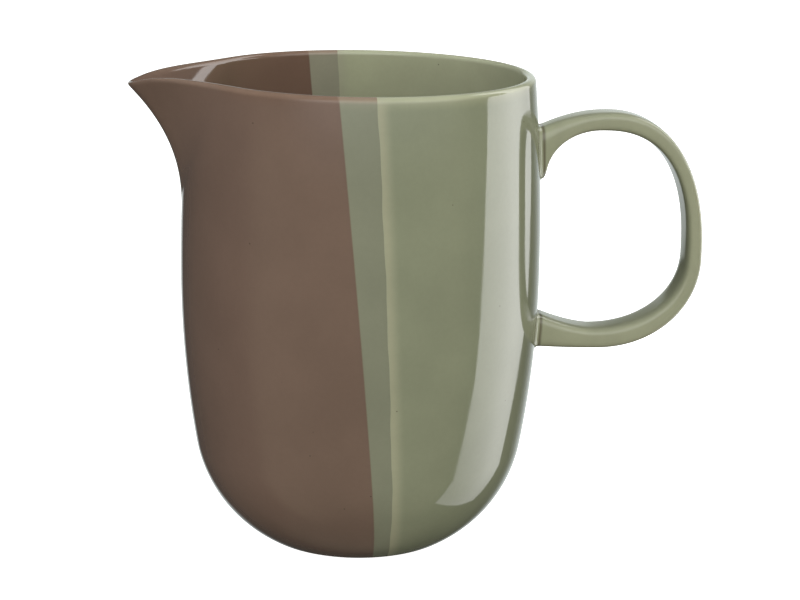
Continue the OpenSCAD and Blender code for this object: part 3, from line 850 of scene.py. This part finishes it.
# The studio: a white sheet and four soft lights that show only as light, not in the gloss
studio = {
    "floorSize": 12.0, "floorDrop": 0.2, "floorGlow": 0.95,   # metres across, and mm under the foot
    "key": {"azimuth": -5.0, "rise": 20.0, "away": 1500.0, "size": 1400.0, "power": 7.6, "tint": "#ffffff"},
    "leftFill": {"azimuth": -75.0, "rise": 18.0, "away": 1400.0, "size": 1100.0, "power": 9.0,
                 "tint": "#f6f9ff"},
    "rightFill": {"azimuth": 95.0, "rise": 14.0, "away": 1400.0, "size": 1100.0, "power": 10.5,
                  "tint": "#fffaf0"},
    "topFill": {"azimuth": 0.0, "rise": 86.0, "away": 1400.0, "size": 500.0, "power": 9.0, "tint": "#ffffff"},
}

# A tall bright card at the right that the glaze mirrors: its outline in mm across and up
brightCard = {
    "azimuth": 109.0, "away": 500.0, "glow": 4.5,
    "farShare": 0.44, "farAcross": (-60, 220),   # it dims towards its far side
    "lowShare": 0.4, "lowUp": (-520, 80),        # and towards its foot
    "left": ((-16, 760), (-16, 400), (-22, 290), (-52, 254), (-190, 240), (-228, 150), (-272, 55),
             (-297, -50), (-300, -160), (-335, -280), (-370, -400)),
    "foot": ((-372, -690), (-186, -590), (-65, -524), (70, -430)),
    "right": ((100, -231), (110, -171), (138, -108), (180, -60), (196, 7), (255, 88), (295, 300), (330, 760)),
}

# What the glaze mirrors all round, in degrees: each range runs from where a patch starts to where it is full
patches = {
    "table": {"glow": 1.0, "azimuths": ((-85, -60), (85, 60)), "rises": ((4, -4), (-89, -72))},
    "underneath": {"glow": 0.25, "azimuths": (), "rises": ((-55, -82),)},
    "backWall": {"glow": 0.95, "azimuths": ((138, 166), (203, 198)), "rises": ((-38, -24), (26, 8))},
    "window": {"glow": 1.75, "azimuths": ((-60, -20), (85, 45)), "rises": ((-6, 12), (72, 32))},
}


def addFloor():
    half = studio["floorSize"] / 2
    corners = [(-half, -half, 0), (half, -half, 0), (half, half, 0), (-half, half, 0)]
    mesh = bpy.data.meshes.new("tableSheet")
    mesh.from_pydata(corners, [], [(0, 1, 2, 3)])
    floor = bpy.data.objects.new("tableSheet", mesh)
    bpy.context.scene.collection.objects.link(floor)
    floor.location.z = -studio["floorDrop"] * mm
    material = newMaterial("whiteSheet")
    tree = material.node_tree
    matt = addNode(tree, "ShaderNodeBsdfDiffuse", None, {"Color": linear("floor")})
    glow = addNode(tree, "ShaderNodeEmission", None, {"Strength": studio["floorGlow"]})
    both = addNode(tree, "ShaderNodeAddShader", None, {0: matt.outputs[0], 1: glow.outputs[0]})
    addNode(tree, "ShaderNodeOutputMaterial", None, {"Surface": both.outputs[0]})
    mesh.materials.append(material)
    floor.visible_glossy = False
    floor.visible_diffuse = False


# Directions are given as seen from the jug: 0 is towards the camera, 90 to its right
def direction(azimuth, rise=0.0):
    turn = math.radians(azimuth + view["azimuth"])
    up = math.radians(rise)
    return Vector((math.sin(turn) * math.cos(up), -math.cos(turn) * math.cos(up), math.sin(up)))


def addSoftLight(name):
    s = studio[name]
    data = bpy.data.lights.new(name, "AREA")
    data.shape = "SQUARE"
    data.size = s["size"] * mm
    data.energy = s["power"]
    data.color = linear(s["tint"])[:3]
    light = bpy.data.objects.new(name, data)
    bpy.context.scene.collection.objects.link(light)
    place = direction(s["azimuth"], s["rise"]) * s["away"] * mm
    facing = (Vector((0, 0, pot["bellyZ"] * mm)) - place).to_track_quat("-Z", "Y")
    light.matrix_world = Matrix.Translation(place) @ facing.to_matrix().to_4x4()
    light.visible_camera = False
    light.visible_glossy = False


# The card shows only in the gloss
def addCard(c):
    outline = [*c["left"], *c["foot"], *c["right"]]
    mesh = bpy.data.meshes.new("brightCard")
    mesh.from_pydata([(x * mm, 0, z * mm) for x, z in outline], [], [tuple(range(len(outline)))])
    card = bpy.data.objects.new("brightCard", mesh)
    bpy.context.scene.collection.objects.link(card)
    away = direction(c["azimuth"])
    across = direction(c["azimuth"] + 90)
    turn = Matrix((across, away, Vector((0, 0, 1)))).transposed()
    card.matrix_world = Matrix.Translation(away * c["away"] * mm) @ turn.to_4x4()
    material = newMaterial("cardGlow")
    tree = material.node_tree
    place = addNode(tree, "ShaderNodeTexCoord").outputs["Object"]
    split = addNode(tree, "ShaderNodeSeparateXYZ", None, {0: place})
    nearX, farX = (x * mm for x in c["farAcross"])
    side = addNode(tree, "ShaderNodeMapRange", soft,
                   {0: split.outputs["X"], 1: nearX, 2: farX, 3: c["glow"], 4: c["glow"] * c["farShare"]})
    lowZ, highZ = (z * mm for z in c["lowUp"])
    low = addNode(tree, "ShaderNodeMapRange", soft,
                  {0: split.outputs["Z"], 1: lowZ, 2: highZ, 3: c["lowShare"], 4: 1.0})
    strength = addNode(tree, "ShaderNodeMath", times, {0: side.outputs[0], 1: low.outputs[0]})
    glow = addNode(tree, "ShaderNodeEmission", None, {"Strength": strength.outputs[0]})
    addNode(tree, "ShaderNodeOutputMaterial", None, {"Surface": glow.outputs[0]})
    mesh.materials.append(material)
    card.visible_camera = False
    card.visible_diffuse = False
    card.visible_shadow = False


# Dim studio walls with the bright patches in them; behind the jug the camera sees plain white
def addSurroundings():
    world = bpy.data.worlds.new("studioWalls")
    bpy.context.scene.world = world
    world.use_nodes = True
    tree = world.node_tree
    tree.nodes.clear()
    sight = addNode(tree, "ShaderNodeTexCoord").outputs["Generated"]
    level = addNode(tree, "ShaderNodeVectorMath", times, {0: sight, 1: (1, 1, 0)}).outputs[0]
    unit = addNode(tree, "ShaderNodeVectorMath", {"operation": "NORMALIZE"}, {0: level}).outputs[0]
    height = addNode(tree, "ShaderNodeSeparateXYZ", None, {0: sight}).outputs["Z"]
    colour = linear("around")
    for name, patch in patches.items():
        shares = []
        for start, full in patch["azimuths"]:
            edge = direction(start + math.copysign(90, full - start))
            dot = addNode(tree, "ShaderNodeVectorMath", dotProduct, {0: unit, 1: edge}).outputs["Value"]
            shares.append({0: dot, 1: 0.0, 2: math.sin(math.radians(abs(full - start))), 3: 0.0, 4: 1.0})
        for start, full in patch["rises"]:
            low, high = (math.sin(math.radians(v)) for v in sorted((start, full)))
            rising = 1.0 if full > start else 0.0
            shares.append({0: height, 1: low, 2: high, 3: 1.0 - rising, 4: rising})
        total = 1.0
        for share in shares:
            mask = addNode(tree, "ShaderNodeMapRange", soft, share).outputs[0]
            total = addNode(tree, "ShaderNodeMath", times, {0: mask, 1: total}).outputs[0]
        bright = [patch["glow"] * c for c in linear(name)[:3]] + [1.0]
        colour = addNode(tree, "ShaderNodeMix", blend, {0: total, 6: colour, 7: bright}).outputs[2]
    seen = addNode(tree, "ShaderNodeLightPath").outputs["Is Camera Ray"]
    colour = addNode(tree, "ShaderNodeMix", blend, {0: seen, 6: colour, 7: linear("backdrop")}).outputs[2]
    glow = addNode(tree, "ShaderNodeBackground", None, {"Color": colour})
    addNode(tree, "ShaderNodeOutputWorld", None, {"Surface": glow.outputs[0]})


addFloor()
for name in ("key", "leftFill", "rightFill", "topFill"):
    addSoftLight(name)
addCard(brightCard)
addSurroundings()
bpy.context.scene.view_settings.view_transform = "Standard"
bpy.context.scene.view_settings.look = "None"
print("stage 5: studio lit")
